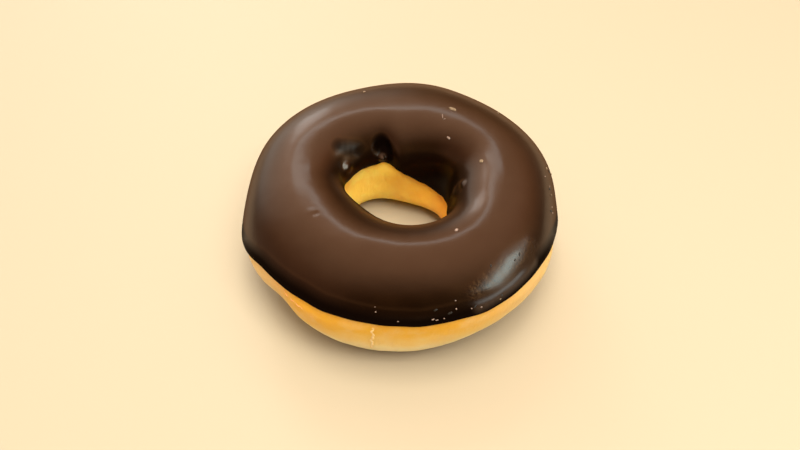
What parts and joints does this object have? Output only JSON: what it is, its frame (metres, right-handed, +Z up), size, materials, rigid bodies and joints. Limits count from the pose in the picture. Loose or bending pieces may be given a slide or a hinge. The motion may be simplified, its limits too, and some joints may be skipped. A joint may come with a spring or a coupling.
{
  "type": "chocolate glazed ring doughnut",
  "caption": "Raised ring doughnut of golden fried dough, its top dipped in a smooth dark chocolate glaze that runs down into the hole.",
  "frame": {"origin": "on the surface it rests on, under the middle of the ring's box", "axes": "+Z up through the hole, glazed side up; +X along the ring's widest span; -Y is the side that the picture looks from"},
  "size_m": [0.091, 0.0858, 0.0345],
  "materials": {
    "fried_dough": null,
    "chocolate_glaze": null
  },
  "bodies": {
    "root": {"dough_ring": "fried_dough", "chocolate_coat": "chocolate_glaze"}
  },
  "joints": []
}
